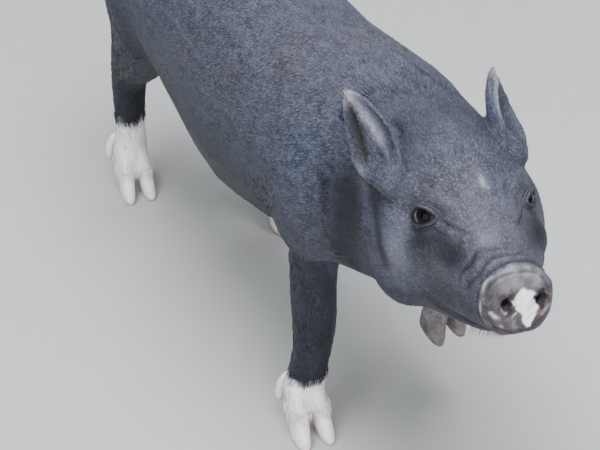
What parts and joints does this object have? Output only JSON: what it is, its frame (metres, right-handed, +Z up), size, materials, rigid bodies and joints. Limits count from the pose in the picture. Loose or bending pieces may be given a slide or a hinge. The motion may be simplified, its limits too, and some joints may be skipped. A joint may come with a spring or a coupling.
{
  "type": "vietnamese pot-bellied pig",
  "caption": "Life-size still model of a young pot-bellied pig in mid step, snout raised, small upright ears, white lower legs and a white patch on the snout.",
  "frame": {"origin": "on the floor, under the centre of the whole model's box", "axes": "+Z up, -Y from the rump toward the snout, +X toward the animal's left side"},
  "size_m": [0.1402, 0.595, 0.2938],
  "materials": {
    "coat": "short sparse black hair over slate skin, white lower legs, white snout patch",
    "eye": "dark brown, wet",
    "horn": "pale pinkish horn, worn satin"
  },
  "bodies": {
    "root": {"torso": "coat", "neck": "coat", "head": "coat", "ear_left": "coat", "ear_right": "coat", "tail": "coat", "leg_front_left": "coat", "leg_front_right": "coat", "leg_hind_left": "coat", "leg_hind_right": "coat", "eye_left": "eye", "eye_right": "eye", "hoof_front_left_left": "horn", "hoof_front_left_right": "horn", "hoof_front_right_left": "horn", "hoof_front_right_right": "horn", "hoof_hind_left_left": "horn", "hoof_hind_left_right": "horn", "hoof_hind_right_left": "horn", "hoof_hind_right_right": "horn", "dewclaw_front_left_left": "horn", "dewclaw_front_left_right": "horn", "dewclaw_front_right_left": "horn", "dewclaw_front_right_right": "horn", "dewclaw_hind_left_left": "horn", "dewclaw_hind_left_right": "horn", "dewclaw_hind_right_left": "horn", "dewclaw_hind_right_right": "horn"}
  },
  "joints": []
}
